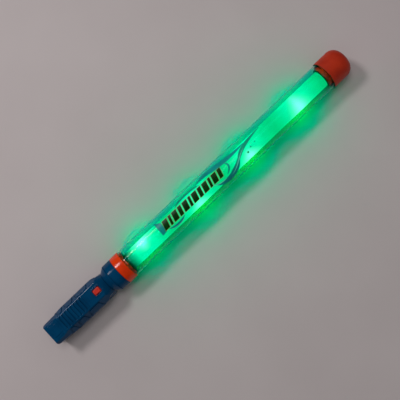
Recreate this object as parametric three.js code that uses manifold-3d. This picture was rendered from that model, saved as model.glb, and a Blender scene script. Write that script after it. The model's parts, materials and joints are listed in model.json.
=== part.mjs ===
// A battery-lit water wand: a clear barrel with an orange collar and an orange nozzle cap,
// and a blue pistol-style handle whose glowing rod is the plunger inside the barrel.
// Millimetres, +Z up. The wand lies on its flat grip, along X, with its nozzle towards +X.
import * as THREE from "three";
import { mergeVertices } from "three/addons/utils/BufferGeometryUtils.js";
import Module from "manifold-3d";

const wasm = await Module();
wasm.setup();

// ---- Driving dimensions. Stations along X count from the seam between handle and collar. ----
const HANDLE_LENGTH = 115.5;
const TAB_LENGTH = 3;
const COLLAR_LENGTH = 13;
const CLEAR_LENGTH = 347;
const CAP_LENGTH = 34.5;

const TUBE_RADIUS = 19;
const TUBE_BORE = 17.4;
const CAP_RADIUS = 20.1;
const COLLAR_RADIUS = 19.8;
const BELL_RADIUS = 19.4;
const NECK_RADIUS = 14;
const ROD_RADIUS = 11.5;
const ROD_BORE = 9.6;

const GRIP_HALF_WIDTH = 18;
const GRIP_TOP = 18;
const GRIP_BOTTOM = -CAP_RADIUS;
const TOP_FACE_HALF = 10.5;
const BOTTOM_FACE_HALF = 13.5;
const WALL = 2.2;

const FIT = 0.15; // radial clearance of a round fit
const GAP = 0.3; // clearance between parts that face each other
const SIDES = 32; // facets round a small turned part
const TUBE_SIDES = 48; // facets round the barrel

// Stations that follow from the lengths.
const CAP_START = COLLAR_LENGTH + CLEAR_LENGTH;
const CAP_END = CAP_START + CAP_LENGTH;
const BUTT = -HANDLE_LENGTH;
const NECK = -21.2; // front face of the grip shells
const ROD_END = CAP_START + 6; // front end of the glowing rod
const ROD_START = -11; // rear end of the glowing rod, in the bell
const TUBE_END = CAP_START + 17.5;
const BUTTON_X = -35.4;
const BUTTON_TRAVEL = 1.2;
const BUTTON_FLANGE = 14.7; // underside of the button's retaining flange
const BATTERY_FRONT = -55.5;
const BATTERY_LENGTH = 44;
const BATTERY_RADIUS = 5.25;
const BATTERY_REAR = BATTERY_FRONT - BATTERY_LENGTH;
const BOARD_TOP = -1; // top face of the LED board

// ---- Finishes ----
const finish = (color, roughness, metalness = 0, extra = {}) =>
  new THREE.MeshStandardMaterial({ color, roughness, metalness, ...extra });

const BLUE = finish(0x0f3b5f, 0.45);
const ORANGE = finish(0xb8320d, 0.5);
const BUTTON_ORANGE = finish(0xd8301a, 0.45);
const CLEAR = finish(0x5fd8b0, 0.1, 0, { transparent: true, opacity: 0.35 });
const GLOW = finish(0x20e890, 0.6, 0, { emissive: 0x10c070 });
const LED_GREEN = finish(0x9cffd8, 0.3, 0, { emissive: 0x60ffc0 });
const RUBBER = finish(0x1c1c1c, 0.85);
const STEEL = finish(0xb4b6b8, 0.3, 1);
const BOARD = finish(0x1e6a3a, 0.5);
const WHITE = finish(0xd8d8d2, 0.6);
const BLACK = finish(0x16181a, 0.5);
const CELL = finish(0x8a8f94, 0.4, 0.4);
const PRINT = finish(0x0c3a2c, 0.4, 0, { transparent: true, opacity: 0.5 });
const WIRE_RED = finish(0x9c1c14, 0.5);

// ---- Solids from three.js geometry ----
function solid(geometry) {
  const bare = geometry.index ? geometry.toNonIndexed() : geometry.clone();
  bare.deleteAttribute("normal");
  bare.deleteAttribute("uv");
  const merged = mergeVertices(bare, 1e-4);
  const mesh = new wasm.Mesh({
    numProp: 3,
    vertProperties: merged.attributes.position.array,
    triVerts: new Uint32Array(merged.index.array),
  });
  return new wasm.Manifold(mesh);
}

function geometryOf(body) {
  const mesh = body.getMesh();
  const geometry = new THREE.BufferGeometry();
  geometry.setAttribute("position", new THREE.BufferAttribute(mesh.vertProperties, 3));
  geometry.setIndex(new THREE.BufferAttribute(mesh.triVerts, 1));
  geometry.computeVertexNormals();
  return geometry;
}

// A ring or a plug turned about the X axis from a closed outline of [x, radius] corners.
function turned(outline, sides = SIDES) {
  const twiceArea = outline.reduce((sum, [x, r], i) => {
    const [nextX, nextR] = outline[(i + 1) % outline.length];
    return sum + x * nextR - nextX * r;
  }, 0);
  const ordered = twiceArea > 0 ? [...outline].reverse() : outline;
  const points = [...ordered, ordered[0]].map(([x, r]) => new THREE.Vector2(r, x));
  return solid(new THREE.LatheGeometry(points, sides).rotateZ(-Math.PI / 2));
}

const sleeve = (x0, x1, outer, inner, sides) =>
  turned([[x0, inner], [x0, outer], [x1, outer], [x1, inner]], sides);

// A quarter circle of [x, radius] corners from one angle to another, for turned outlines.
function arc(centreX, centreR, radius, fromDegrees, toDegrees, steps = 4) {
  return Array.from({ length: steps + 1 }, (_, i) => {
    const angle = THREE.MathUtils.degToRad(fromDegrees + ((toDegrees - fromDegrees) * i) / steps);
    return [centreX + radius * Math.cos(angle), centreR + radius * Math.sin(angle)];
  });
}

function block(x0, x1, y0, y1, z0, z1) {
  const box = new THREE.BoxGeometry(x1 - x0, y1 - y0, z1 - z0);
  return solid(box.translate((x0 + x1) / 2, (y0 + y1) / 2, (z0 + z1) / 2));
}

// A round bar along X, and a round post along Z.
function bar(x0, x1, y, z, radius, sides = 16) {
  const cylinder = new THREE.CylinderGeometry(radius, radius, x1 - x0, sides);
  return solid(cylinder.rotateZ(-Math.PI / 2).translate((x0 + x1) / 2, y, z));
}

function post(x, y, z0, z1, radius, sides = 12) {
  const cylinder = new THREE.CylinderGeometry(radius, radius, z1 - z0, sides);
  return solid(cylinder.rotateX(Math.PI / 2).translate(x, y, (z0 + z1) / 2));
}

// A closed outline whose corners [x, y, radius] are rounded off.
function roundedShape(corners, defaultRadius = 0.8) {
  const shape = new THREE.Shape();
  corners.forEach(([x, y, radius = defaultRadius], i) => {
    const corner = new THREE.Vector2(x, y);
    const before = new THREE.Vector2(...corners.at(i - 1).slice(0, 2));
    const after = new THREE.Vector2(...corners[(i + 1) % corners.length].slice(0, 2));
    const start = corner.clone().lerp(before, radius / corner.distanceTo(before));
    const end = corner.clone().lerp(after, radius / corner.distanceTo(after));
    if (i === 0) shape.moveTo(start.x, start.y);
    else shape.lineTo(start.x, start.y);
    shape.quadraticCurveTo(x, y, end.x, end.y);
  });
  shape.closePath();
  return shape;
}

const CURVE_STEPS = 2;
const prism = (shape, depth) =>
  new THREE.ExtrudeGeometry(shape, { depth, bevelEnabled: false, curveSegments: CURVE_STEPS });

// The shape's plane is (y, z) and it is pulled along X; or (x, y) along Z; or (x, z) along Y.
function alongX(shape, x0, x1) {
  const turn = new THREE.Matrix4().makeBasis(
    new THREE.Vector3(0, 1, 0),
    new THREE.Vector3(0, 0, 1),
    new THREE.Vector3(1, 0, 0),
  );
  return solid(prism(shape, x1 - x0).applyMatrix4(turn).translate(x0, 0, 0));
}

const alongZ = (shape, z0, z1) => solid(prism(shape, z1 - z0).translate(0, 0, z0));

const alongY = (shape, y0, y1) =>
  solid(prism(shape, y1 - y0).rotateX(Math.PI / 2).translate(0, y1, 0));

// ---- The scene graph: the barrel, the handle with its plunger rod, and the button ----
const wand = new THREE.Group();
wand.name = "light_wand";
wand.position.set(-(CAP_END + BUTT - TAB_LENGTH) / 2, 0, CAP_RADIUS);

function group(name) {
  const part = new THREE.Group();
  part.name = name;
  wand.add(part);
  return part;
}

function add(parent, name, body, material) {
  const mesh = new THREE.Mesh(geometryOf(body), material.clone());
  mesh.name = name;
  parent.add(mesh);
}

// ---- Barrel: clear tube, rear collar with its rod gland, nozzle cap, printed label ----
function rearCollar() {
  const spigotEnd = COLLAR_LENGTH + 4.2;
  const edge = 0.6;
  const rodHole = ROD_RADIUS + 0.5;
  const counterbore = 15;
  const counterboreDepth = 9;
  const spigotRadius = TUBE_BORE - FIT;
  return turned([
    [0, counterbore],
    [0, COLLAR_RADIUS - edge],
    [edge, COLLAR_RADIUS],
    [COLLAR_LENGTH - edge, COLLAR_RADIUS],
    [COLLAR_LENGTH, COLLAR_RADIUS - edge],
    [COLLAR_LENGTH, spigotRadius],
    ...arc(spigotEnd - 3, spigotRadius - 3, 3, 90, 0, 2),
    [spigotEnd, rodHole],
    [counterboreDepth, rodHole],
    [counterboreDepth, counterbore],
  ], TUBE_SIDES);
}

function nozzleCap() {
  const dome = 12;
  const socket = TUBE_RADIUS + FIT;
  const socketEnd = TUBE_END + 1.5;
  const jetHole = 4.2;
  const lip = 0.7;
  return turned([
    [CAP_START, socket],
    [CAP_START, CAP_RADIUS - lip],
    [CAP_START + lip, CAP_RADIUS],
    ...arc(CAP_END - dome, CAP_RADIUS - dome, dome, 90, 0, 5),
    [CAP_END, jetHole],
    [socketEnd, jetHole],
    [socketEnd, socket],
  ], TUBE_SIDES);
}

function nozzleJet() {
  const radius = 4.2 - FIT;
  const bore = 1.2;
  const recess = 1;
  const rear = TUBE_END + 3;
  return turned([
    [rear, bore],
    [rear, radius],
    [CAP_END - recess, radius],
    [CAP_END - recess, bore + 0.6],
    [CAP_END - recess - 1.5, bore],
  ], 24);
}

// A thin printed film on the top of the barrel, faceted like the barrel itself.
function labelFilm() {
  const facet = 360 / TUBE_SIDES;
  const halfFacets = 8;
  const inner = TUBE_RADIUS + 0.06;
  const outer = inner + 0.15;
  const start = COLLAR_LENGTH + 56;
  const end = start + 185;
  const corner = (radius, i) => {
    const angle = THREE.MathUtils.degToRad(i * facet);
    return new THREE.Vector2(radius * Math.sin(angle), radius * Math.cos(angle));
  };
  const steps = Array.from({ length: 2 * halfFacets + 1 }, (_, i) => i - halfFacets);
  const outline = [
    ...steps.map((i) => corner(outer, i)),
    ...steps.reverse().map((i) => corner(inner, i)),
  ];
  return alongX(new THREE.Shape(outline), start, end);
}

function addBarrel() {
  const barrel = group("barrel");
  const glandX = 5.2;
  const glandLength = 3.6;
  const glandRadius = 15 - FIT;
  add(barrel, "barrel_tube",
    sleeve(COLLAR_LENGTH + FIT, TUBE_END, TUBE_RADIUS, TUBE_BORE, TUBE_SIDES), CLEAR);
  add(barrel, "rear_collar", rearCollar(), ORANGE);
  add(barrel, "gland_seal",
    sleeve(glandX, glandX + glandLength, glandRadius, ROD_RADIUS + 0.25), RUBBER);
  add(barrel, "gland_retaining_ring",
    sleeve(GAP, glandX - FIT, glandRadius, ROD_RADIUS + 0.4), ORANGE);
  add(barrel, "nozzle_cap", nozzleCap(), ORANGE);
  add(barrel, "nozzle_jet", nozzleJet(), ORANGE);
  add(barrel, "cap_gasket",
    sleeve(TUBE_END + 0.2, TUBE_END + 1.3, TUBE_RADIUS, TUBE_BORE, SIDES), RUBBER);
  add(barrel, "label_film", labelFilm(), PRINT);
}

// ---- Plunger: glowing rod with its LEDs, and the piston on its front end ----
const PISTON_REAR = ROD_END + 4.3;
const PISTON_FRONT = TUBE_END - 0.5;

function rodEndFitting() {
  const start = CAP_START - 6;
  const radius = 14.35;
  const floor = ROD_END + GAP;
  const end = PISTON_REAR - GAP;
  return turned([
    [start, ROD_RADIUS + FIT],
    ...arc(start + 2, radius - 2, 2, 180, 90, 2),
    [end, radius],
    [end, 1.35],
    [floor, 1.35],
    [floor, ROD_RADIUS + FIT],
  ]);
}

function pistonHead() {
  const radius = TUBE_BORE - 0.4;
  const groove = 14.1;
  const grooveStart = PISTON_REAR + 1.6;
  const grooveEnd = grooveStart + 3.2;
  const screwRecess = 4;
  return turned([
    [PISTON_REAR, 1.7],
    [PISTON_REAR, radius],
    [grooveStart, radius],
    [grooveStart, groove],
    [grooveEnd, groove],
    [grooveEnd, radius],
    [PISTON_FRONT, radius],
    [PISTON_FRONT, screwRecess],
    [PISTON_FRONT - 2.6, screwRecess],
    [PISTON_FRONT - 2.6, 1.7],
  ]);
}

function pistonRing() {
  const section = 1.5;
  const centreX = PISTON_REAR + 3.2;
  const ring = arc(centreX, TUBE_BORE - section - 0.2, section, 0, 315, 7);
  return turned(ring);
}

function pistonScrew() {
  const headEnd = PISTON_FRONT - 0.3;
  const headStart = PISTON_FRONT - 2.4;
  return turned([
    [ROD_END + 0.6, 0],
    [ROD_END + 0.6, 1.2],
    [headStart, 1.2],
    [headStart, 3.4],
    [headEnd, 3.4],
    [headEnd, 1],
    [headEnd - 1, 0],
  ], 16);
}

// A plastic plug in the rod that holds one end of the LED board in a slot.
function boardPlug(x0, x1, wireHole) {
  const slot = block(x0 - 1, x1 + 1, -7.2, 7.2, BOARD_TOP - 1.5, BOARD_TOP + 0.3);
  return turned([[x0, 0], [x0, ROD_BORE - FIT], [x1, ROD_BORE - FIT], [x1, 0]])
    .subtract(slot)
    .subtract(bar(x0 - 1, x1 + 1, 0, 0, wireHole));
}

function ledLamp(x, y) {
  const radius = 2.5;
  const foot = BOARD_TOP + GAP;
  const shoulder = foot + 4;
  const dome = arc(shoulder, 0, radius, 90, 0, 3);
  const outline = [[foot, 0], [foot, 2.9], [foot + 1, 2.9], [foot + 1, radius], ...dome];
  return turned(outline, 12).rotate([0, -90, 0]).translate([x, y, 0]);
}

function addPlunger() {
  const plunger = group("plunger_rod");
  const boardStart = 12;
  const boardEnd = ROD_END - 9;
  const firstLed = 45;
  const ledPitch = 87.4;
  const ledSides = [5, -5, -5, -4.5];
  const rearPlug = [2, 22];
  const frontPlug = [boardEnd - 6, boardEnd + 2];
  add(plunger, "light_rod", sleeve(ROD_START, ROD_END, ROD_RADIUS, ROD_BORE), GLOW);
  add(plunger, "rod_end_fitting", rodEndFitting(), ORANGE);
  add(plunger, "piston_head", pistonHead(), BLACK);
  add(plunger, "piston_ring", pistonRing(), RUBBER);
  add(plunger, "piston_screw", pistonScrew(), STEEL);
  add(plunger, "rear_board_plug", boardPlug(...rearPlug, 4), WHITE);
  add(plunger, "front_board_plug", boardPlug(...frontPlug, 3), WHITE);
  add(plunger, "led_board",
    block(boardStart, boardEnd, -7, 7, BOARD_TOP - 1.2, BOARD_TOP), BOARD);
  ledSides.forEach((y, i) =>
    add(plunger, `led_${i + 1}`, ledLamp(firstLed + i * ledPitch, y), LED_GREEN));
}

// ---- Handle: two grip shells round a bell that holds the rod ----
function handleBell() {
  const coneEnd = -12.6;
  const tenon = 10;
  const flange = 12.3;
  const wireHole = 6;
  const socketFloor = ROD_START - GAP;
  return turned([
    [-30, wireHole],
    [-30, flange],
    [NECK - WALL - GAP, flange],
    [NECK - WALL - GAP, tenon],
    [NECK + GAP, tenon],
    [NECK + GAP, NECK_RADIUS],
    [coneEnd - 1, BELL_RADIUS - 0.75],
    [coneEnd, BELL_RADIUS],
    [-1, BELL_RADIUS],
    [-GAP, BELL_RADIUS - 0.6],
    [-GAP, ROD_RADIUS + FIT],
    [socketFloor, ROD_RADIUS + FIT],
    [socketFloor, wireHole],
  ], TUBE_SIDES);
}

// The grip's form is where three outlines cross: its section, its plan and its side view.
function gripSection(inset) {
  const half = GRIP_HALF_WIDTH - inset;
  const top = TOP_FACE_HALF - 0.5 * inset;
  const bottom = BOTTOM_FACE_HALF - 0.5 * inset;
  return roundedShape([
    [half, 5, 2],
    [top, GRIP_TOP - inset, 1.2],
    [-top, GRIP_TOP - inset, 1.2],
    [-half, 5, 2],
    [-half, -8, 2],
    [-bottom, GRIP_BOTTOM + inset, 1.5],
    [bottom, GRIP_BOTTOM + inset, 1.5],
    [half, -8, 2],
  ]);
}

function mirrored(halfOutline) {
  const other = halfOutline.map(([x, y, radius]) => [x, -y, radius]).reverse();
  return [...halfOutline, ...other];
}

function topPlan(inset) {
  return roundedShape(mirrored([
    [BUTT + inset, 15.2 - inset, 2.5],
    [-96, 16 - inset, 0.5],
    [-94.5, 17 - inset, 0.5],
    [-84, GRIP_HALF_WIDTH - inset, 3],
    [-42, GRIP_HALF_WIDTH + 0.4 - inset, 6],
    [-33, 17.4 - inset, 1.5],
    [-28, 15 - inset, 1.5],
    [NECK, NECK_RADIUS - inset, 0.6],
  ]));
}

function bottomPlan(inset) {
  return roundedShape(mirrored([
    [BUTT + inset, 15.2 - inset, 2.5],
    [-83, 16.6 - inset, 0.5],
    [-81, 17.8 - inset, 0.5],
    [-60, GRIP_HALF_WIDTH + 0.4 - inset, 6],
    [-33, 17.4 - inset, 4],
    [-23.5, 16.9 - inset, 1.2],
    [NECK, 14 - inset, 0.6],
  ]));
}

function sideView(inset) {
  return roundedShape([
    [BUTT + inset, GRIP_BOTTOM + 2 + inset, 1.5],
    [BUTT + inset, 15.8 - inset, 2],
    [-97, 16.6 - inset, 0.5],
    [-95, GRIP_TOP - inset, 0.5],
    [-26, GRIP_TOP - inset, 3],
    [NECK, 15.5 - inset, 0.6],
    [NECK, -NECK_RADIUS + inset, 0.6],
    [-28, GRIP_BOTTOM + inset, 3],
    [BUTT + 2 + inset, GRIP_BOTTOM + inset, 0.8],
  ]);
}

const REACH = 40; // how far a cutting outline runs past the piece it cuts

// The top of the grip narrows towards the bell in a round nose, as wide as the neck it meets.
function nose() {
  return turned([
    [BUTT - REACH, 0],
    [BUTT - REACH, REACH],
    [-34, 22],
    [-30.5, 20.2],
    [-26, 17.2],
    [NECK, NECK_RADIUS],
    [NECK, 0],
  ], TUBE_SIDES);
}

function gripForm(plan, inset, z0, z1) {
  return alongZ(plan(inset), z0, z1)
    .intersect(alongX(gripSection(inset), BUTT - REACH, REACH))
    .intersect(alongY(sideView(inset), -REACH, REACH));
}

// The grip's inside: roomy behind the button, and a round seat for the bell in front.
function gripCavity(plan) {
  const frontWall = -34;
  const seatEnd = NECK - WALL;
  const seatRadius = 12.6;
  const tenonHole = 10 + GAP;
  const buttonRoom = 7;
  const rear = block(BUTT - REACH, frontWall, -REACH, REACH, -REACH, REACH);
  return gripForm(plan, WALL, -REACH, REACH)
    .intersect(rear)
    .add(bar(frontWall - 1, seatEnd, 0, 0, seatRadius, SIDES))
    .add(bar(seatEnd - 1, NECK + 1, 0, 0, tenonHole, SIDES))
    .add(block(BUTTON_X - buttonRoom, BUTTON_X + buttonRoom - 1, -buttonRoom, buttonRoom,
      0, GRIP_TOP - WALL));
}

// One arched panel line on the slanted side of the grip: a groove along a low arch.
function archGroove(x0, x1, side) {
  const slope = new THREE.Vector3(0, TOP_FACE_HALF - GRIP_HALF_WIDTH, GRIP_TOP - 5);
  const height = slope.length() - 1.5;
  const grooveWidth = 1.6;
  const depth = 1.2;
  const lean = 2.4;
  const outline = (inset, foot) => roundedShape([
    [x0 + inset, foot, 0.4],
    [x0 + inset + lean, height - inset, 2.2],
    [x1 - inset - lean, height - inset, 2.2],
    [x1 - inset, foot, 0.4],
  ]);
  const outer = solid(prism(outline(0, -1), 6).translate(0, 0, -6));
  const inner = solid(prism(outline(grooveWidth, -3), 10).translate(0, 0, -8));
  const along = new THREE.Vector3(1, 0, 0);
  const up = slope.normalize();
  const inward = new THREE.Vector3().crossVectors(along, up);
  const seat = new THREE.Vector3(0, GRIP_HALF_WIDTH, 5).addScaledVector(inward, depth);
  const frame = new THREE.Matrix4().makeBasis(along, up, inward).setPosition(seat);
  const cutter = outer.subtract(inner).transform(frame.toArray());
  return side > 0 ? cutter : cutter.mirror([0, 1, 0]);
}

const union = (bodies) => bodies.reduce((all, body) => all.add(body));
const PANELS = [[-94, -81.5], [-80.5, -64], [-63, -40]];
const SIDE_SIGNS = [1, -1];
const SCREWS = [[-109.8, 0], [-46.5, 12], [-46.5, -12]];
const SCREW_SHANK = 1.2;

const panelGrooves = () =>
  union(PANELS.flatMap(([x0, x1]) => SIDE_SIGNS.map((side) => archGroove(x0, x1, side))));

const plate = (x0, x1, half, z0, z1, radius = 1) =>
  alongZ(roundedShape([[x0, -half], [x1, -half], [x1, half], [x0, half]], radius), z0, z1);

// Finger ribs: a raised strip cut across by evenly spaced grooves.
function ribStrip() {
  const half = 8.2;
  return plate(-93.6, -54.6, half, GRIP_TOP - 1, GRIP_TOP + 0.6);
}

function ribGrooves() {
  const count = 8;
  const first = -91;
  const pitch = 4.75;
  const width = 2.1;
  const half = 8.6;
  const floor = GRIP_TOP - 1.2;
  return union(Array.from({ length: count }, (_, i) => {
    const x = first + i * pitch;
    return block(x - width / 2, x + width / 2, -half, half, floor, GRIP_TOP + 2);
  }));
}

function topShell() {
  const outer = gripForm(topPlan, 0, GAP / 2, REACH).intersect(nose());
  const posts = union(SCREWS.map(([x, y]) => post(x, y, 1, GRIP_TOP, 3))).intersect(outer);
  const pilots = union(SCREWS.map(([x, y]) => post(x, y, 0, 11, SCREW_SHANK + FIT)));
  const buttPad = plate(-111, -99.5, 6.8, 14.5, 17);
  const buttScallops = union(SIDE_SIGNS.map((side) => bar(-111, -100, side * 11.5, 18.5, 3.2)));
  const bezel = plate(BUTTON_X - 6.6, BUTTON_X + 6.6, 5.8, GRIP_TOP - 1, GRIP_TOP + 0.5, 1.5);
  const window = plate(BUTTON_X - 5.3, BUTTON_X + 5.3, 4.3, 12, GRIP_TOP + 2);
  return outer
    .subtract(gripCavity(topPlan))
    .add(posts)
    .subtract(pilots)
    .add(ribStrip())
    .add(bezel)
    .add(buttPad)
    .subtract(ribGrooves())
    .subtract(buttScallops)
    .subtract(panelGrooves())
    .subtract(window);
}

const BATTERY_BAY = [-104.2, -53.2];
const DOOR_HALF = 11.2;
const DOOR_TONGUE_END = -45;
const DOOR_TONGUE_HALF = 5;
const DOOR_THICKNESS = 2;
const DOOR_SCREW_X = -47.8;

function bottomShell() {
  const inner = GRIP_BOTTOM + WALL;
  const top = -GAP / 2;
  const bossRadius = 4.2;
  const headRadius = 2.9;
  const headSeat = -14;
  const outer = gripForm(bottomPlan, 0, -REACH, top);
  const bosses = SCREWS.map(([x, y]) => post(x, y, GRIP_BOTTOM, top, bossRadius));
  const bulkheads = BATTERY_BAY.map((x, i) =>
    block(x - (i ? 0 : 1), x + (i ? 1 : 0), -REACH, REACH, inner - 1, -1));
  const doorBoss = block(-51.5, -44, -8, 8, GRIP_BOTTOM + DOOR_THICKNESS + 0.1, -9);
  const structure = union([...bosses, ...bulkheads, doorBoss])
    .intersect(gripForm(bottomPlan, 0.5, -REACH, top));
  const screwHoles = SCREWS.flatMap(([x, y]) => [
    post(x, y, -REACH, 0, SCREW_SHANK + 0.25),
    post(x, y, -REACH, headSeat, headRadius),
  ]);
  const doorWay = plate(...BATTERY_BAY, DOOR_HALF + GAP, -REACH, GRIP_BOTTOM + 3);
  const tongueFloor = GRIP_BOTTOM + DOOR_THICKNESS + 0.1;
  const tongueWay = plate(BATTERY_BAY[1] - 4, DOOR_TONGUE_END + GAP,
    DOOR_TONGUE_HALF + GAP, -REACH, tongueFloor);
  const doorPilot = post(DOOR_SCREW_X, 0, -REACH, -10.5, SCREW_SHANK + FIT);
  const tabSlot = block(BUTT - 1, BUTT + 2.6, -5.7, 5.7, -11.2, -5.8);
  const shoulder = alongX(new THREE.Shape([
    new THREE.Vector2(14, 1), new THREE.Vector2(16.9, -12),
    new THREE.Vector2(24, -12), new THREE.Vector2(24, 1),
  ]), -30.5, -20);
  return outer
    .subtract(gripCavity(bottomPlan))
    .add(structure)
    .subtract(union([...screwHoles, doorWay, tongueWay, doorPilot, tabSlot]))
    .subtract(shoulder)
    .subtract(shoulder.mirror([0, 1, 0]));
}

function batteryDoor() {
  const [bayStart, bayEnd] = BATTERY_BAY;
  const z0 = GRIP_BOTTOM;
  const z1 = GRIP_BOTTOM + DOOR_THICKNESS;
  const grooveCount = 5;
  const lid = plate(bayStart + GAP, bayEnd - GAP, DOOR_HALF, z0, z1, 1)
    .add(plate(bayEnd - 4, DOOR_TONGUE_END, DOOR_TONGUE_HALF, z0, z1, 1));
  const grooves = Array.from({ length: grooveCount }, (_, i) =>
    block(bayStart + 6 + i * 3, bayStart + 7.2 + i * 3, -7, 7, z0 - 1, z0 + 0.6));
  const screwHole = post(DOOR_SCREW_X, 0, z0 - 1, z1 + 1, SCREW_SHANK + 0.25);
  const headHole = post(DOOR_SCREW_X, 0, z0 - 1, z0 + 1.3, 2.9);
  return lid.subtract(union([...grooves, screwHole, headHole]));
}

// A pan-head screw pointing up, with a cross recess cut into its head.
function screw(headBottom, headHeight, tip) {
  const head = post(0, 0, headBottom, headBottom + headHeight, 2.6);
  const shank = post(0, 0, headBottom + 0.5, tip, SCREW_SHANK);
  const slots = [[1.6, 0.35], [0.35, 1.6]].map(([x, y]) =>
    block(-x, x, -y, y, headBottom - 1, headBottom + 0.8));
  return head.add(shank).subtract(union(slots));
}

function lanyardTab() {
  const x0 = BUTT - TAB_LENGTH;
  const tab = block(x0, BUTT + 1.9, -5.4, 5.4, -11, -6);
  return tab.subtract(post(x0 + 1.5, 0, -12, -5, 0.8, 12));
}

// ---- Electrics inside the grip ----
const CELLS = [[5.5, -12.2], [-5.5, -12.2], [0, -3]];

function batteryCell(y, z) {
  const rim = 0.4;
  return turned([
    [BATTERY_REAR, 0],
    [BATTERY_REAR, BATTERY_RADIUS - rim],
    [BATTERY_REAR + rim, BATTERY_RADIUS],
    [BATTERY_FRONT - rim, BATTERY_RADIUS],
    [BATTERY_FRONT, BATTERY_RADIUS - rim],
    [BATTERY_FRONT, 1.9],
    [BATTERY_FRONT + 1, 1.9],
    [BATTERY_FRONT + 1, 0],
  ], 20).translate([0, y, z]);
}

// A closed tube along a curve, with a six-sided section.
function wire(curve, radius, steps) {
  const section = new THREE.Shape(Array.from({ length: 6 }, (_, i) => {
    const angle = (i * Math.PI) / 3;
    return new THREE.Vector2(radius * Math.cos(angle), radius * Math.sin(angle));
  }));
  return solid(new THREE.ExtrudeGeometry(section, { extrudePath: curve, steps }));
}

class ConeCoil extends THREE.Curve {
  constructor(x0, x1, y, z) {
    super();
    Object.assign(this, { x0, x1, y, z });
  }

  getPoint(t, target = new THREE.Vector3()) {
    const turns = 2.5;
    const angle = 2 * Math.PI * turns * t;
    const radius = 3.6 - 1.4 * t;
    return target.set(
      this.x0 + (this.x1 - this.x0) * t,
      this.y + radius * Math.cos(angle),
      this.z + radius * Math.sin(angle),
    );
  }
}

function springContact() {
  const x0 = BATTERY_BAY[0] + 0.2;
  const sheet = block(x0, x0 + 0.4, -10.5, 10.5, -17, 2);
  const coils = CELLS.map(([y, z]) =>
    wire(new ConeCoil(x0 + 0.3, BATTERY_REAR - 0.6, y, z), 0.35, 20));
  return union([sheet, ...coils]);
}

function plateContact() {
  const x1 = BATTERY_BAY[1] - 0.2;
  const sheet = block(x1 - 0.4, x1, -10.5, 10.5, -17, 2);
  const bumps = CELLS.map(([y, z]) => bar(x1 - 0.8, x1 - 0.2, y, z, 1.6, 12));
  return union([sheet, ...bumps]);
}

const BOARD_Z = 8;

function controlBoard() {
  return plate(-52, -31, 8, BOARD_Z, BOARD_Z + 1.2, 1);
}

// The switch's stem stands at its pressed height, just under where the button stops.
function tactSwitch() {
  const half = 3;
  const foot = BOARD_Z + 1.4;
  const shoulder = foot + 3.3;
  const stemTop = BUTTON_FLANGE - BUTTON_TRAVEL - 0.1;
  return block(BUTTON_X - half, BUTTON_X + half, -half, half, foot, shoulder)
    .add(post(BUTTON_X, 0, shoulder - 1, stemTop, 1.7));
}

// The lit-rod leads leave the control board and run through the bell to the LED board.
function rodLead(side) {
  return wire(new THREE.CatmullRomCurve3([
    new THREE.Vector3(-36, side * 5, BOARD_Z - 0.9),
    new THREE.Vector3(-33, side * 4.5, 5),
    new THREE.Vector3(-28, side * 2.5, 1),
    new THREE.Vector3(-12, side * 1.5, 0),
    new THREE.Vector3(4, side * 1.6, 0),
    new THREE.Vector3(11, side * 1.8, 0.2),
    new THREE.Vector3(16, side * 2.4, BOARD_TOP + 0.75),
  ]), 0.6, 18);
}

function batteryLead(side) {
  return wire(new THREE.CatmullRomCurve3([
    new THREE.Vector3(side > 0 ? -103 : -53.5, side * 9, 2.9),
    new THREE.Vector3(side > 0 ? -98 : -52.5, side * 9, 4.5),
    new THREE.Vector3(side > 0 ? -60 : -51, side * 9, 5.5),
    new THREE.Vector3(-48, side * 6, BOARD_Z - 0.9),
  ]), 0.6, 14);
}

function addHandle() {
  const handle = group("handle");
  const screwNames = ["case_screw_rear", "case_screw_left", "case_screw_right"];
  add(handle, "handle_bell", handleBell(), BLUE);
  add(handle, "top_grip_shell", topShell(), BLUE);
  add(handle, "bottom_grip_shell", bottomShell(), BLUE);
  add(handle, "battery_door", batteryDoor(), BLUE);
  add(handle, "battery_door_screw",
    screw(GRIP_BOTTOM + 0.2, 1, -11.5).translate([DOOR_SCREW_X, 0, 0]), STEEL);
  SCREWS.forEach(([x, y], i) =>
    add(handle, screwNames[i], screw(-16, 1.8, 9).translate([x, y, 0]), STEEL));
  add(handle, "lanyard_tab", lanyardTab(), BLACK);
  CELLS.forEach(([y, z], i) => add(handle, `battery_cell_${i + 1}`, batteryCell(y, z), CELL));
  add(handle, "battery_spring_contact", springContact(), STEEL);
  add(handle, "battery_plate_contact", plateContact(), STEEL);
  add(handle, "control_board", controlBoard(), BOARD);
  add(handle, "button_switch", tactSwitch(), BLACK);
  add(handle, "rod_lead_red", rodLead(1), WIRE_RED);
  add(handle, "rod_lead_black", rodLead(-1), BLACK);
  add(handle, "battery_lead_red", batteryLead(1), WIRE_RED);
  add(handle, "battery_lead_black", batteryLead(-1), BLACK);
}

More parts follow.
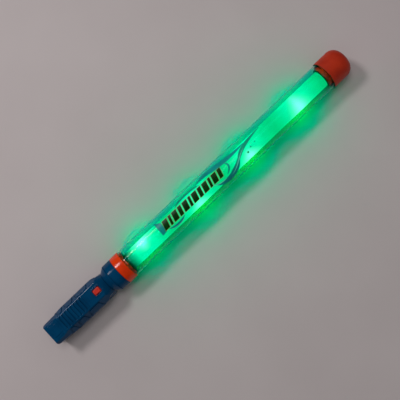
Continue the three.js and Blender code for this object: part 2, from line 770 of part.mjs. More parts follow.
// ---- Push button: a ribbed wedge, narrower towards the butt, over a retaining flange ----
function pushButton() {
  const flangeTop = BUTTON_FLANGE + 0.8;
  const crown = GRIP_TOP + 1.7;
  const halfLength = 4.5;
  const rearHalf = 2.9;
  const frontHalf = 3.5;
  const ribPitch = 2.1;
  const grooveHalf = 0.4;
  const grooveReach = 2.1;
  const outline = (inset) => roundedShape([
    [BUTTON_X - halfLength + inset, inset - rearHalf, 0.9],
    [BUTTON_X + halfLength - inset, inset - frontHalf, 0.9],
    [BUTTON_X + halfLength - inset, frontHalf - inset, 0.9],
    [BUTTON_X - halfLength + inset, rearHalf - inset, 0.9],
  ]);
  const grooves = union([-1, 0, 1].map((step) => {
    const x = BUTTON_X + step * ribPitch;
    return block(x - grooveHalf, x + grooveHalf, -grooveReach, grooveReach, crown - 0.5, crown + 1);
  }));
  const cap = alongZ(outline(0), BUTTON_FLANGE, crown - 0.5);
  const face = alongZ(outline(0.6), crown - 1, crown);
  const flange = plate(BUTTON_X - 6.2, BUTTON_X + 5.8, 5.8, BUTTON_FLANGE, flangeTop);
  return cap.add(face).subtract(grooves).add(flange);
}

function addButton() {
  add(group("button"), "push_button", pushButton(), BUTTON_ORANGE);
}

addBarrel();
addPlunger();
addHandle();
addButton();

export default wand;
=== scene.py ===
import json
import math

import bmesh
import bpy
from mathutils import Matrix, Vector


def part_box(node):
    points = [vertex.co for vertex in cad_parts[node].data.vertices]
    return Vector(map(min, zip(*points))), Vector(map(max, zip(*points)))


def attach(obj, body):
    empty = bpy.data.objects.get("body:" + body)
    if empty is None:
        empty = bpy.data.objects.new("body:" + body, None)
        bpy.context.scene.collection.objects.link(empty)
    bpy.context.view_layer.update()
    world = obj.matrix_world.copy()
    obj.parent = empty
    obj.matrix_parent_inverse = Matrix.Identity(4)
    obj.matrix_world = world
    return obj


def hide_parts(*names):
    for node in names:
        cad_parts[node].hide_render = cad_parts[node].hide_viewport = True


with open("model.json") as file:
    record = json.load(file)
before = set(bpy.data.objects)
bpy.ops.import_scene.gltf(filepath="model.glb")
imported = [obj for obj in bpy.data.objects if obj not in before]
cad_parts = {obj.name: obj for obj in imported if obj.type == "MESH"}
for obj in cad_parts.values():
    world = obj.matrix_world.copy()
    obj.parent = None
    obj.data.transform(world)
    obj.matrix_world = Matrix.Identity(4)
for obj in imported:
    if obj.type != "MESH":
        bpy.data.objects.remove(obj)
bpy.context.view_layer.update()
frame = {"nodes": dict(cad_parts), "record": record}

MM = 0.001

# ---------------------------------------------------------------- places taken from the frame


def middle(node):
    low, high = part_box(node)
    return (low + high) / 2


def ends(node):
    """A turned node's rear end, front end and outer radius, in millimetres."""
    low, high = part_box(node)
    return low.x / MM, high.x / MM, (high.y - low.y) / 2 / MM


AXIS_HEIGHT = middle("barrel_tube").z
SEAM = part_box("handle_bell")[1].x / MM
TUBE_RADIUS = ends("barrel_tube")[2]
TUBE_WALL = 1.6
ROD_RADIUS = ends("light_rod")[2]
ROD_WALL = 1.9
FIT_GAP = 0.15  # left between two fitted parts
LED_NODES = [f"led_{number}" for number in (1, 2, 3, 4)]
LED_PLACES = [middle(node) for node in LED_NODES]

# ---------------------------------------------------------------- camera

CAMERA_PLACE = Vector((-0.0372, -0.0781, 0.8072))
CAMERA_TARGET = Vector((-0.0033, -0.0051, AXIS_HEIGHT))
PICTURE_UP = Vector((0.6876, 0.7196, 0.0))
LENS = 56.05
SENSOR_WIDTH = 36
NEAREST = 10 * MM


def add_camera():
    data = bpy.data.cameras.new("camera")
    data.lens = LENS
    data.sensor_width = SENSOR_WIDTH
    data.clip_start = NEAREST
    camera = bpy.data.objects.new("camera", data)
    bpy.context.scene.collection.objects.link(camera)
    back = (CAMERA_PLACE - CAMERA_TARGET).normalized()
    right = PICTURE_UP.cross(back).normalized()
    up = back.cross(right)
    turn = Matrix((right, up, back)).transposed().to_4x4()
    camera.matrix_world = Matrix.Translation(CAMERA_PLACE) @ turn
    bpy.context.scene.camera = camera


# ---------------------------------------------------------------- material helpers


class Paint:
    """One procedural material: a Principled shader and the nodes that vary it."""

    def __init__(self, name, colour, roughness, **values):
        self.material = bpy.data.materials.new(name)
        self.material.use_nodes = True
        self.tree = self.material.node_tree
        self.shader = self.tree.nodes["Principled BSDF"]
        self.set("Base Color", (*colour, 1))
        self.set("Roughness", roughness)
        for socket, value in values.items():
            self.set(socket.replace("_", " "), value)
        self.place = self.add("ShaderNodeTexCoord").outputs["Object"]

    def add(self, kind, **settings):
        node = self.tree.nodes.new(kind)
        for key, value in settings.items():
            setattr(node, key, value)
        return node

    def link(self, output, target):
        self.tree.links.new(output, target)

    def set(self, socket, value):
        self.shader.inputs[socket].default_value = value

    def drive(self, socket, output):
        self.link(output, self.shader.inputs[socket])

    def noise(self, scale, detail=3.0, stretch=(1, 1, 1)):
        mapping = self.add("ShaderNodeMapping")
        mapping.inputs["Scale"].default_value = stretch
        self.link(self.place, mapping.inputs["Vector"])
        node = self.add("ShaderNodeTexNoise")
        node.inputs["Scale"].default_value = scale
        node.inputs["Detail"].default_value = detail
        self.link(mapping.outputs[0], node.inputs["Vector"])
        return node.outputs["Fac"]

    def ramp(self, source, stops):
        node = self.add("ShaderNodeValToRGB")
        elements = node.color_ramp.elements
        for place, _ in stops[2:]:
            elements.new(place)
        for element, (place, colour) in zip(elements, stops):
            element.position = place
            element.color = (*colour, 1)
        self.link(source, node.inputs["Fac"])
        return node.outputs["Color"]

    def span(self, source, low, high, source_low=0.3, source_high=0.7):
        node = self.add("ShaderNodeMapRange")
        node.inputs["From Min"].default_value = source_low
        node.inputs["From Max"].default_value = source_high
        node.inputs["To Min"].default_value = low
        node.inputs["To Max"].default_value = high
        self.link(source, node.inputs["Value"])
        return node.outputs[0]

    def bump(self, source, height_mm):
        """Adds one layer of relief, on top of any that is there already."""
        node = self.add("ShaderNodeBump")
        node.inputs["Distance"].default_value = height_mm * MM
        self.link(source, node.inputs["Height"])
        normal = self.shader.inputs["Normal"]
        if normal.is_linked:
            self.link(normal.links[0].from_socket, node.inputs["Normal"])
        self.link(node.outputs[0], normal)

    def math(self, operation, a, b=0.0):
        node = self.add("ShaderNodeMath", operation=operation)
        for socket, value in zip(node.inputs, (a, b)):
            if isinstance(value, (int, float)):
                socket.default_value = value
            else:
                self.link(value, socket)
        return node.outputs[0]

    def colour_sum(self, a, b):
        node = self.add("ShaderNodeMix", data_type="RGBA", blend_type="ADD")
        node.inputs["Factor"].default_value = 1
        sockets = [socket for socket in node.inputs if socket.type == "RGBA"]
        self.link(a, sockets[0])
        self.link(b, sockets[1])
        return next(socket for socket in node.outputs if socket.type == "RGBA")


CLOUD_SCALE = 60
CLOUD_LOW, CLOUD_HIGH = 0.35, 0.65
SCUFF_SCALE = 900
SCUFF_STRETCH = (0.25, 1, 1)
SMOOTHER, ROUGHER = 0.06, 0.08
GRAIN_SCALE = 2600
GRAIN_HEIGHT = 0.012


def cloudy(paint, scale, detail, dark, light):
    """Lets the colour drift softly between a darker and a lighter one."""
    clouds = paint.noise(scale, detail)
    paint.drive("Base Color", paint.ramp(clouds, [(CLOUD_LOW, dark), (CLOUD_HIGH, light)]))


def moulded_plastic(name, dark, light, roughness, **values):
    """Injection-moulded plastic: cloudy colour, fine grain, faint scuffs."""
    paint = Paint(name, light, roughness, **values)
    cloudy(paint, CLOUD_SCALE, 4, dark, light)
    scuffs = paint.noise(SCUFF_SCALE, 2, stretch=SCUFF_STRETCH)
    paint.drive("Roughness", paint.span(scuffs, roughness - SMOOTHER, roughness + ROUGHER))
    paint.bump(paint.noise(GRAIN_SCALE, 2), GRAIN_HEIGHT)
    return paint.material


# ---------------------------------------------------------------- the rod's glow

ROD_COLOUR = (0.02, 0.1, 0.07)
GLOW_SPREAD = 27  # mm along the rod
ROD_GLOW = [
    (0.0, (0.0, 0.5, 0.14)),
    (0.2, (0.0, 0.72, 0.23)),
    (0.7, (0.0, 0.95, 0.4)),
    (1.0, (0.0, 1.0, 0.46)),
]
FAN_COLOUR = (0.9, 0.5, 0.2)
FANS = [(3.2, 18), (2.0, 10), (2.6, 12), (2.8, 26)]  # strength, and reach in mm
FAN_NEAR_WIDTH = 10.5
FAN_FAR_WIDTH = 3.5
FAN_FULL_SHARE = 0.3
RISE_BEFORE, RISE_AFTER = 4.5, 9.5  # mm either side of the rear plug's front face


def bell_curve(paint, offset, width):
    """1 where the offset is 0, falling to nothing a width or two away."""
    ratio = paint.math("DIVIDE", offset, width)
    square = paint.math("MULTIPLY", ratio, ratio)
    return paint.math("EXPONENT", paint.math("MULTIPLY", square, -1.0))


def lamp_fan(paint, offset, across, strength, reach):
    """The white-green fan of one lamp, narrower and fainter with distance from the lamp's side."""
    width = paint.span(across, FAN_NEAR_WIDTH * MM, FAN_FAR_WIDTH * MM, 0, reach * MM)
    fade = paint.span(across, strength, 0.0, reach * FAN_FULL_SHARE * MM, reach * MM)
    return paint.math("MULTIPLY", bell_curve(paint, offset, width), fade)


def lit_rod_material():
    """Frosted green plastic lit by the lamps: each throws a white-green fan across the rod."""
    paint = Paint("lit_rod", ROD_COLOUR, 0.35, Specular_IOR_Level=0.3)
    split = paint.add("ShaderNodeSeparateXYZ")
    paint.link(paint.place, split.inputs[0])
    x = split.outputs["X"]
    y = split.outputs["Y"]
    glow = 0.0
    fans = 0.0
    for lamp, (strength, reach) in zip(LED_PLACES, FANS):
        side = math.copysign(1, lamp.y)
        offset = paint.math("SUBTRACT", x, lamp.x)
        glow = paint.math("ADD", glow, bell_curve(paint, offset, GLOW_SPREAD * MM))
        across = paint.math("SUBTRACT", ROD_RADIUS * MM, paint.math("MULTIPLY", y, side))
        fans = paint.math("ADD", fans, lamp_fan(paint, offset, across, strength, reach))
    body = paint.ramp(glow, ROD_GLOW)
    core = paint.add("ShaderNodeVectorMath", operation="SCALE")
    core.inputs[0].default_value = FAN_COLOUR
    paint.link(fans, core.inputs["Scale"])
    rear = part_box("rear_board_plug")[1].x
    rise = paint.span(x, 0.0, 1.0, rear - RISE_BEFORE * MM, rear + RISE_AFTER * MM)
    clouds = paint.span(paint.noise(70, 3), 0.93, 1.05)
    paint.drive("Emission Color", paint.colour_sum(body, core.outputs[0]))
    paint.drive("Emission Strength", paint.math("MULTIPLY", rise, clouds))
    paint.bump(paint.noise(1500, 2), 0.01)
    return paint.material


# ---------------------------------------------------------------- the clear tube's plastic

# The tube's own tint is the pale one at its ends; the deeper green-blue along the lit length is
# painted glow.
TUBE_GLOW_TINT = (0.08, 0.95, 0.93)
TUBE_ENDS = (0.7, 0.9, 0.8)
TUBE_IOR = 1.18
TUBE_HAZE = (0.07, 0.1)  # least and most roughness


def clear_tube_material():
    """Clear plastic, almost clear at its two ends, with painted glow: a deeper green-blue tint
    along its lit length.
    """
    paint = Paint("clear_tube", TUBE_GLOW_TINT, 0.03, Transmission_Weight=1.0, IOR=TUBE_IOR)
    split = paint.add("ShaderNodeSeparateXYZ")
    paint.link(paint.place, split.inputs[0])
    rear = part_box("rear_collar")[1].x
    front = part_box("rod_end_fitting")[0].x
    rear_part = paint.span(split.outputs["X"], 0.0, 1.0, rear - 1 * MM, rear + 4 * MM)
    front_part = paint.span(split.outputs["X"], 1.0, 0.0, front - 3 * MM, front + 1 * MM)
    lit_part = paint.math("MINIMUM", rear_part, front_part)
    # painted glow: the tint deepens to green-blue along the lit length
    glow_tint = paint.ramp(lit_part, [(0.0, TUBE_ENDS), (1.0, TUBE_GLOW_TINT)])
    paint.drive("Base Color", glow_tint)
    haze = paint.noise(220, 4, stretch=(0.15, 1, 1))
    paint.drive("Roughness", paint.span(haze, *TUBE_HAZE))
    return paint.material


# ---------------------------------------------------------------- mesh helpers

WELD = 1e-7  # metres; corners closer than this are one
TURN_STEPS = 128
FINE_TURN_STEPS = 256  # for the tube, whose clear walls show every facet

def new_piece(name, mesh, body, material, replaces=()):
    piece = bpy.data.objects.new(name, mesh)
    bpy.context.scene.collection.objects.link(piece)
    mesh.materials.clear()
    mesh.materials.append(material)
    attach(piece, body)
    if replaces:
        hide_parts(*replaces)
    return piece


def to_mesh(bm, name, sharp_degrees=35):
    bmesh.ops.remove_doubles(bm, verts=bm.verts, dist=WELD)
    bmesh.ops.recalc_face_normals(bm, faces=bm.faces)
    limit = math.radians(sharp_degrees)
    for face in bm.faces:
        face.smooth = True
    for edge in bm.edges:
        edge.smooth = edge.calc_face_angle(0) < limit
    mesh = bpy.data.meshes.new(name)
    bm.to_mesh(mesh)
    bm.free()
    return mesh


def rounded(corners, arc_steps=5):
    """A closed outline of (x, r) points in mm. A corner's third number is its fillet."""
    points = []
    count = len(corners)
    for index, corner in enumerate(corners):
        here = Vector(corner[:2])
        if len(corner) == 2:
            points.append(here)
            continue
        fillet = corner[2]
        before = (Vector(corners[index - 1][:2]) - here).normalized()
        after = (Vector(corners[(index + 1) % count][:2]) - here).normalized()
        half = before.angle(after) / 2
        start = here + before * fillet / math.tan(half)
        centre = here + (before + after).normalized() * fillet / math.sin(half)
        sweep = math.pi - 2 * half
        side = 1 if before.x * after.y - before.y * after.x < 0 else -1
        for step in range(arc_steps + 1):
            turn = Matrix.Rotation(side * sweep * step / arc_steps, 2)
            points.append(centre + turn @ (start - centre))
    return points


def lathe(name, outline, steps):
    """Turns a closed outline of (x, r) points in mm about the wand's axis."""
    bm = bmesh.new()
    rings = []
    for step in range(steps):
        angle = 2 * math.pi * step / steps
        across = math.sin(angle) * MM
        up = math.cos(angle) * MM
        rings.append([bm.verts.new((x * MM, r * across, AXIS_HEIGHT + r * up))
                      for x, r in outline])
    for step in range(steps):
        here, there = rings[step], rings[(step + 1) % steps]
        for index in range(len(outline)):
            after = (index + 1) % len(outline)
            bm.faces.new([here[index], here[after], there[after], there[index]])
    bmesh.ops.remove_doubles(bm, verts=bm.verts, dist=WELD)
    bmesh.ops.dissolve_degenerate(bm, edges=bm.edges, dist=WELD)
    return to_mesh(bm, name)


def turned_piece(name, outline, body, slot, paints, node, steps=TURN_STEPS):
    return new_piece(name, lathe(name, outline, steps), body, paints[slot], [node])


# ---------------------------------------------------------------- barrel


def add_tube(paints):
    rear, front, outer = ends("barrel_tube")
    inner = outer - TUBE_WALL
    outline = [(rear, inner, 0.2), (rear, outer, 0.3), (front, outer, 0.3), (front, inner, 0.2)]
    return turned_piece("barrel_tube_clear", rounded(outline), "barrel", "clear_tube", paints,
                        "barrel_tube", FINE_TURN_STEPS)


def add_collar(paints):
    rear, front, outer = ends("rear_collar")
    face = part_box("barrel_tube")[0].x / MM - FIT_GAP
    spigot = TUBE_RADIUS - TUBE_WALL - FIT_GAP
    rod_hole = 12
    counterbore = 15
    floor = rear + 9
    outline = [
        (rear, counterbore), (rear, outer, 0.7), (face, outer, 0.8), (face, spigot),
        (front, spigot, 2.8), (front, rod_hole, 0.4), (floor, rod_hole), (floor, counterbore),
    ]
    turned_piece("rear_collar_ring", rounded(outline), "barrel", "orange_plastic", paints,
                 "rear_collar")


def add_cap(paints):
    rear, front, outer = ends("nozzle_cap")
    socket = TUBE_RADIUS + FIT_GAP
    socket_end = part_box("barrel_tube")[1].x / MM + 1.5
    jet_hole = 4.2
    dome = 11.8
    outline = [
        (rear, socket), (rear, outer, 0.6), (front, outer, dome), (front, jet_hole, 0.4),
        (socket_end, jet_hole), (socket_end, socket),
    ]
    turned_piece("nozzle_cap_dome", rounded(outline, 12), "barrel", "cap_plastic", paints,
                 "nozzle_cap")


LARGEST_RING_FILLET = 0.35


def add_ring(node, inner, body, slot, paints):
    """A plain ring with softened edges in place of a faceted one."""
    rear, front, outer = ends(node)
    fillet = min(LARGEST_RING_FILLET, (front - rear) / 3)
    outline = [(rear, inner, 0.1), (rear, outer, fillet), (front, outer, fillet),
               (front, inner, 0.1)]
    turned_piece(node + "_smooth", rounded(outline), body, slot, paints, node)


def add_seals(paints):
    add_ring("gland_seal", ROD_RADIUS + 0.25, "barrel", "black_rubber", paints)
    add_ring("gland_retaining_ring", ROD_RADIUS + 0.4, "barrel", "orange_plastic", paints)
    add_ring("cap_gasket", TUBE_RADIUS - TUBE_WALL, "barrel", "black_rubber", paints)


def add_jet(paints):
    rear, front, outer = ends("nozzle_jet")
    bore = 1.2
    mouth = 1.8
    taper = 1.5
    outline = [(rear, bore), (rear, outer, 0.2), (front, outer, 0.2), (front, mouth, 0.1),
               (front - taper, bore)]
    turned_piece("nozzle_jet_smooth", rounded(outline), "barrel", "cap_plastic", paints,
                 "nozzle_jet", 64)


# ---------------------------------------------------------------- printed label


INK_HEIGHT = 0.06
FIRST_INK = 0.04  # how far the first layer stands off the tube
NEXT_INK = 0.07
STRIP = 1.0  # the ink is bent in strips this wide


def wrapped(name, outlines, radius):
    """Thin ink shapes laid round the top of the tube.

    Each outline is a list of (x, w) points in mm: x along the wand from its seam, and w round
    the tube from its top line, towards -Y.
    """
    bm = bmesh.new()
    for outline in outlines:
        loop = [bm.verts.new((x, w, 0)) for x, w in outline]
        bm.faces.new(loop)
    reach = max(abs(vert.co.y) for vert in bm.verts)
    most = math.ceil(reach / STRIP)
    for step in range(-most, most + 1):
        everything = bm.verts[:] + bm.edges[:] + bm.faces[:]
        bmesh.ops.bisect_plane(bm, geom=everything, plane_co=(0, step * STRIP, 0),
                               plane_no=(0, 1, 0))
    bmesh.ops.triangulate(bm, faces=bm.faces)
    bmesh.ops.recalc_face_normals(bm, faces=bm.faces)
    bmesh.ops.solidify(bm, geom=bm.faces, thickness=INK_HEIGHT)
    lowest = min(vert.co.z for vert in bm.verts)
    for vert in bm.verts:
        x, w, lift = vert.co
        angle = w / radius
        r = (radius + lift - lowest) * MM
        vert.co = ((x + SEAM) * MM, -r * math.sin(angle), AXIS_HEIGHT + r * math.cos(angle))
    return to_mesh(bm, name, 60)


BAR_START, BAR_END = 79, 185
BAR_LOW, BAR_HIGH = -6.3, 5.4
BAR_WIDTHS = [7.4, 3.4, 7.4, 5.2]
BAR_GAP = 2.6
BAR_LEAN = 0.3
EDGING = 0.55
RIBBON_STEPS = 24
DROPLET_SIDES = 8


def slanted_bar(x, width, low, high):
    left = [(x - BAR_LEAN * w, w) for w in (low, high)]
    right = [(x + width - BAR_LEAN * w, w) for w in (high, low)]
    return left + right


def bars(grow):
    """The label's row of slanted bars, thick and thin in turn, each wider by grow all round."""
    outlines = []
    x = BAR_START
    width = BAR_WIDTHS[0]
    while x + width < BAR_END:
        outlines.append(slanted_bar(x - grow, width + 2 * grow, BAR_LOW - grow, BAR_HIGH + grow))
        x += width + BAR_GAP
        width = BAR_WIDTHS[len(outlines) % len(BAR_WIDTHS)]
    return outlines


def droplet(x, w, size):
    turns = [2 * math.pi * side / DROPLET_SIDES for side in range(DROPLET_SIDES)]
    return [(x + size * math.cos(turn), w + size * math.sin(turn)) for turn in turns]


def ribbon(points, widths):
    """A band along a Bezier curve, given by its four (x, w) points.

    The widths are at its start, added at its middle, and at its end.
    """
    a, b, c, d = (Vector(point) for point in points)
    start, middle_width, end = widths

    def at(t):
        u = 1 - t
        return a * u ** 3 + b * 3 * t * u * u + c * 3 * t * t * u + d * t ** 3

    left, right = [], []
    for step in range(RIBBON_STEPS + 1):
        t = step / RIBBON_STEPS
        along = (at(min(t + 0.01, 1)) - at(max(t - 0.01, 0))).normalized()
        normal = Vector((-along.y, along.x))
        half = (start * (1 - t) + end * t + 4 * t * (1 - t) * middle_width) / 2
        left.append(tuple(at(t) + normal * half))
        right.append(tuple(at(t) - normal * half))
    return left + right[::-1]


def teal_waves():
    return [
        [(71.5, -12.4), (79.2, -6.4), (78.2, 6.6), (71, 7.6)],
        ribbon([(82, 6.2), (90, 11.5), (100, 11.5), (108, 6.6)], (0.2, 3.4, 0.2)),
        ribbon([(144, -11.5), (162, -18), (180, -4.5), (222, -8)], (0.4, 6.4, 0.8)),
        ribbon([(161.5, 6.8), (176, 20), (196, 11), (204, 3.5)], (0.4, 5.6, 3.0)),
        ribbon([(188, -5), (193, 0), (186, 6), (181, 7.6)], (1.2, 1.4, 0.4)),
    ]


def green_spray():
    return [
        ribbon([(104, -7.4), (114, -13), (130, -13), (146, -8)], (0.3, 3.4, 0.3)),
        ribbon([(203, 4.6), (213, -4), (222, -6.5), (251, -9.4)], (2.6, 3.4, 0.4)),
        ribbon([(187, 8), (197, 7.6), (203, 2.6), (210, -0.4)], (0.3, 1.6, 0.4)),
        droplet(219, 5.2, 1.5),
        droplet(226, 2.4, 1.0),
        droplet(234, 0.8, 0.8),
    ]


# Painted highlights: bright mint strokes along the waves, laid on the tube as a layer.
def mint_painted_highlights():
    return [
        ribbon([(158, 5), (163, 9.5), (170, 11), (178, 10.6)], (0.3, 0.9, 0.2)),
        ribbon([(186, 12.4), (198, 9.6), (204, 2), (218, -3.2)], (0.2, 1.0, 0.3)),
        ribbon([(84, 8.4), (92, 12.4), (100, 12.2), (106, 9)], (0.2, 0.6, 0.2)),
    ]


def add_label(paints):
    """Five layers on the tube: four of ink and one of painted highlights in bright mint. The first
    stands for the whole label film of the frame.
    """
    first = TUBE_RADIUS + FIRST_INK
    second = first + NEXT_INK
    layers = [
        ("label_print_waves", teal_waves(), first, "label_teal"),
        ("label_print_spray", green_spray(), first, "label_green"),
        ("label_print_edging", bars(EDGING), first, "label_yellow"),
        ("label_print_bars", bars(0), second, "label_dark"),
        ("label_painted_highlights", mint_painted_highlights(), second, "label_painted_highlight"),
    ]
    for index, (name, outlines, radius, paint) in enumerate(layers):
        mesh = wrapped(name, outlines, radius)
        new_piece(name, mesh, "barrel", paints[paint],
                  ["label_film"] if index == 0 else ())


# ---------------------------------------------------------------- plunger


def add_rod(paints):
    rear, front, outer = ends("light_rod")
    inner = outer - ROD_WALL
    outline = [(rear, inner), (rear, outer, 0.4), (front, outer, 0.4), (front, inner)]
    return turned_piece("light_rod_diffuser", rounded(outline), "handle", "lit_rod", paints,
                        "light_rod", 96)


def add_rod_end(paints):
    rear, front, outer = ends("rod_end_fitting")
    rod_front = ends("light_rod")[1]
    bore = ROD_RADIUS + FIT_GAP
    floor = rod_front + 0.3
    screw_hole = 1.35
    outline = [
        (rear, bore), (rear, outer, 1.6), (front, outer, 0.4), (front, screw_hole),
        (floor, screw_hole), (floor, bore),
    ]
    turned_piece("rod_end_fitting_smooth", rounded(outline), "handle", "orange_plastic", paints,
                 "rod_end_fitting")


def add_piston(paints):
    rear, front, outer = ends("piston_head")
    groove = 14.1
    groove_rear = rear + 1.6
    groove_front = rear + 4.8
    screw_hole = 1.7
    recess = 4
    recess_floor = front - 2.6
    outline = [
        (rear, screw_hole), (rear, outer, 0.4), (groove_rear, outer, 0.15),
        (groove_rear, groove), (groove_front, groove), (groove_front, outer, 0.15),
        (front, outer, 0.5), (front, recess, 0.2), (recess_floor, recess),
        (recess_floor, screw_hole),
    ]
    turned_piece("piston_head_smooth", rounded(outline), "handle", "black_plastic", paints,
                 "piston_head")


# ---------------------------------------------------------------- handle


SMOOTHING_ROUNDS = 3
SMOOTHING = 0.5
KEPT_SHARE = 0.25  # of the faces that the remesh makes


def moulded_copy(node, voxel_mm):
    """A copy of a CAD shell with its edges rounded over, as they leave the mould."""
    source = frame["nodes"][node]
    mesh = source.data.copy()
    piece = bpy.data.objects.new(node + "_work", mesh)
    bpy.context.scene.collection.objects.link(piece)
    remesh = piece.modifiers.new("remesh", "REMESH")
    remesh.mode = "VOXEL"
    remesh.voxel_size = voxel_mm * MM
    smooth = piece.modifiers.new("smooth", "SMOOTH")
    smooth.iterations = SMOOTHING_ROUNDS
    smooth.factor = SMOOTHING
    thin = piece.modifiers.new("thin", "DECIMATE")
    thin.ratio = KEPT_SHARE
    graph = bpy.context.evaluated_depsgraph_get()
    result = bpy.data.meshes.new_from_object(piece.evaluated_get(graph))
    result.name = node + "_moulded"
    for polygon in result.polygons:
        polygon.use_smooth = True
    bpy.data.objects.remove(piece)
    return result


MOULDED = [  # node, its body, its finish, and how fine its copy is, in mm
    ("top_grip_shell", "handle", "blue_plastic", 0.25),
    ("bottom_grip_shell", "handle", "blue_plastic", 0.3),
    ("battery_door", "handle", "blue_plastic", 0.2),
    ("lanyard_tab", "handle", "black_plastic", 0.15),
    ("push_button", "button", "button_plastic", 0.15),
]


def add_moulded_pieces(paints):
    for node, body, slot, voxel_mm in MOULDED:
        new_piece(node + "_moulded", moulded_copy(node, voxel_mm), body, paints[slot],
                  [node])


def add_bell(paints):
    rear, front, outer = ends("handle_bell")
    flange = 12.3
    tenon = 10
    neck = 14
    wire_hole = 6
    rod_socket = 11.65
    shoulder = rear + 6.3
    neck_rear = rear + 9.1
    floor = rear + 18.7
    groove = front - 11.9
    groove_half = 0.4
    groove_floor = outer - 0.7
    cone_end = groove - 1.4
    cone_radius = outer - 0.3
    outline = [
        (rear, wire_hole), (rear, flange, 0.5), (shoulder, flange), (shoulder, tenon),
        (neck_rear, tenon), (neck_rear, neck, 0.3),
        (cone_end, cone_radius, 0.8), (groove - groove_half, outer), (groove, groove_floor),
        (groove + groove_half, outer), (front, outer, 0.6), (front, rod_socket, 0.4),
        (floor, rod_socket), (floor, wire_hole),
    ]
    turned_piece("handle_bell_cup", rounded(outline), "handle", "blue_plastic", paints,
                 "handle_bell")


# ---------------------------------------------------------------- finishes

PLASTICS = {  # dark colour, light colour, roughness
    "blue_plastic": ((0.0004, 0.045, 0.122), (0.0008, 0.06, 0.156), 0.14),
    "orange_plastic": ((0.76, 0.042, 0.004), (0.9, 0.058, 0.005), 0.17),
    "cap_plastic": ((0.44, 0.02, 0.002), (0.56, 0.032, 0.004), 0.5),
    "button_plastic": ((0.66, 0.035, 0.02), (0.76, 0.05, 0.03), 0.35),
    "black_plastic": ((0.012, 0.014, 0.018), (0.02, 0.024, 0.03), 0.45),
    "white_plastic": ((0.7, 0.7, 0.66), (0.8, 0.8, 0.76), 0.5),
    "black_rubber": ((0.012, 0.012, 0.012), (0.022, 0.022, 0.022), 0.8),
    "board_green": ((0.02, 0.16, 0.06), (0.03, 0.22, 0.08), 0.4),
    "red_wire": ((0.42, 0.015, 0.015), (0.5, 0.02, 0.02), 0.4),
    "black_wire": ((0.012, 0.012, 0.012), (0.02, 0.02, 0.02), 0.4),
    "led_lens": ((0.5, 0.95, 0.75), (0.6, 1.0, 0.8), 0.15),
    "label_print": ((0.01, 0.16, 0.12), (0.015, 0.2, 0.14), 0.3),
    "label_teal": ((0.0, 0.3, 0.28), (0.0, 0.4, 0.36), 0.3),
    "label_green": ((0.0, 0.36, 0.22), (0.0, 0.46, 0.28), 0.3),
    "label_dark": ((0.0, 0.03, 0.002), (0.0, 0.06, 0.004), 0.3),
    "label_yellow": ((0.16, 0.46, 0.08), (0.22, 0.55, 0.1), 0.3),
    # colour of the label's painted highlights
    "label_painted_highlight": ((0.1, 0.9, 0.6), (0.15, 1.0, 0.7), 0.3),
}
METALS = {  # dark colour, light colour, roughness, and how metallic
    "cell_jacket": ((0.2, 0.22, 0.25), (0.26, 0.28, 0.32), 0.3, 0.5),
    "steel": ((0.5, 0.5, 0.5), (0.62, 0.62, 0.62), 0.3, 1.0),
}
SHINE = 0.4
BLUE_SHINE = 0.13


def make_paints():
    paints = {}
    for name, values in PLASTICS.items():
        shine = BLUE_SHINE if name == "blue_plastic" else SHINE
        paints[name] = moulded_plastic(name, *values, Specular_IOR_Level=shine)
    for name, (dark, light, roughness, metallic) in METALS.items():
        paints[name] = moulded_plastic(name, dark, light, roughness, Metallic=metallic)
    paints["lit_rod"] = lit_rod_material()
    paints["clear_tube"] = clear_tube_material()
    return paints


def paint_frame(paints):
    slots = {part["node"]: part["material_slot"] for part in frame["record"]["subparts"]}
    for node, piece in frame["nodes"].items():
        piece.data.materials.clear()
        piece.data.materials.append(paints[slots[node]])


# ---------------------------------------------------------------- light and floor


def add_light(name, kind, watts, colour, place, **settings):
    data = bpy.data.lights.new(name, kind)
    data.energy = watts
    data.color = colour
    for key, value in settings.items():
        setattr(data, key, value)
    light = bpy.data.objects.new(name, data)
    light.location = place
    bpy.context.scene.collection.objects.link(light)
    return light


def aim(light, target):
    light.rotation_mode = "QUATERNION"
    light.rotation_quaternion = (target - light.location).to_track_quat("-Z", "Y")


WARM = (1.0, 0.93, 0.93)
KEY_WATTS = 8.2
KEY_PLACE = Vector((-0.45, 0.98, 1.3))
KEY_WIDTH = 0.36
KEY_DEPTH = 0.28
TOP_WATTS = 3.9
TOP_PLACE = Vector((0.1, 0.3, 1.6))
TOP_WIDTH = 0.6
ROOM_COLOUR = (1.0, 0.95, 0.95, 1)
ROOM_STRENGTH = 0.2


def add_room():
    world = bpy.data.worlds.new("studio")
    world.use_nodes = True
    background = world.node_tree.nodes["Background"]
    background.inputs["Color"].default_value = ROOM_COLOUR
    background.inputs["Strength"].default_value = ROOM_STRENGTH
    bpy.context.scene.world = world
    world.cycles_visibility.glossy = False


def add_studio_light():
    """A soft key over the far side of the wand, a wide top light and a dim room."""
    target = Vector((0, 0, 0))
    key = add_light("key", "AREA", KEY_WATTS, WARM, KEY_PLACE,
                    shape="RECTANGLE", size=KEY_WIDTH, size_y=KEY_DEPTH)
    aim(key, target)
    top = add_light("top", "AREA", TOP_WATTS, WARM, TOP_PLACE, shape="DISK", size=TOP_WIDTH)
    aim(top, target)
    top.visible_glossy = False
    add_room()


LAMP_LIGHTS = [  # name, watts and colour
    ("green", 0.024, (0.0, 1.0, 0.0)),
    ("red", -0.035, (1.0, 0.0, 0.1)),
]
LAMP_STRENGTHS = (0.8, 1.0, 1.0, 1.0)
LAMP_SIDEWAYS = 2.2 * MM
LAMP_SIZE = 8 * MM


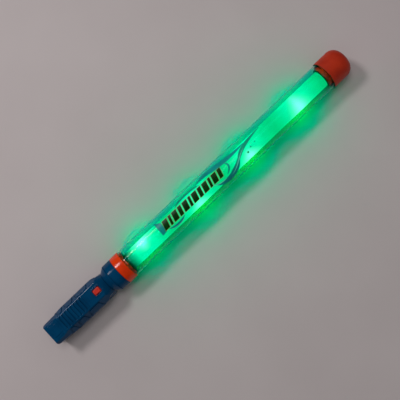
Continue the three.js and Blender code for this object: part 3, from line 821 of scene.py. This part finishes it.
def add_lamp_light(unblocking):
    """The light that the lamps throw out through the rod and the tube.

    Each lamp is a green light and a red one of negative power, which takes red out of what the
    green one lights. The tube, the rod and what the rod holds don't stop either.
    """
    clear = bpy.data.collections.new("lets_lamp_light_out")
    for piece in unblocking:
        clear.objects.link(piece)
    for entry in clear.collection_objects:
        entry.light_linking.link_state = "EXCLUDE"
    for number, (place, strength) in enumerate(zip(LED_PLACES, LAMP_STRENGTHS), 1):
        spot = Vector((place.x, math.copysign(LAMP_SIDEWAYS, place.y), AXIS_HEIGHT))
        for name, watts, colour in LAMP_LIGHTS:
            lamp = add_light(f"lamp_{number}_{name}", "POINT", watts * strength, colour, spot,
                             shadow_soft_size=LAMP_SIZE)
            lamp.light_linking.blocker_collection = clear
            lamp.visible_camera = False
            lamp.visible_glossy = False
            lamp.visible_transmission = False
            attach(lamp, "handle")


FLOOR_HALF = 3
FLOOR_LEVEL = -0.2 * MM  # just under the wand, so that the two never share a plane
FLOOR_DARK = (0.6, 0.56, 0.56)
FLOOR_LIGHT = (0.63, 0.59, 0.59)


def add_floor():
    paint = Paint("floor", (0.62, 0.58, 0.57), 0.7, Specular_IOR_Level=0.2)
    cloudy(paint, 6, 3, FLOOR_DARK, FLOOR_LIGHT)
    signs = [(-1, -1), (1, -1), (1, 1), (-1, 1)]
    corners = [(x * FLOOR_HALF, y * FLOOR_HALF, FLOOR_LEVEL) for x, y in signs]
    mesh = bpy.data.meshes.new("floor")
    mesh.from_pydata(corners, [], [(0, 1, 2, 3)])
    mesh.materials.append(paint.material)
    floor = bpy.data.objects.new("floor", mesh)
    bpy.context.scene.collection.objects.link(floor)


# ---------------------------------------------------------------- the whole scene


def build():
    bpy.context.scene.view_settings.view_transform = "Standard"
    add_camera()
    paints = make_paints()
    paint_frame(paints)
    tube = add_tube(paints)
    add_collar(paints)
    add_cap(paints)
    add_label(paints)
    rod = add_rod(paints)
    add_rod_end(paints)
    add_piston(paints)
    add_seals(paints)
    add_jet(paints)
    add_bell(paints)
    add_moulded_pieces(paints)
    add_floor()
    add_studio_light()
    inside_rod = ["led_board", "rear_board_plug", "front_board_plug", "rod_lead_red",
                  "rod_lead_black"] + LED_NODES
    add_lamp_light([tube, rod] + [frame["nodes"][node] for node in inside_rod])


build()
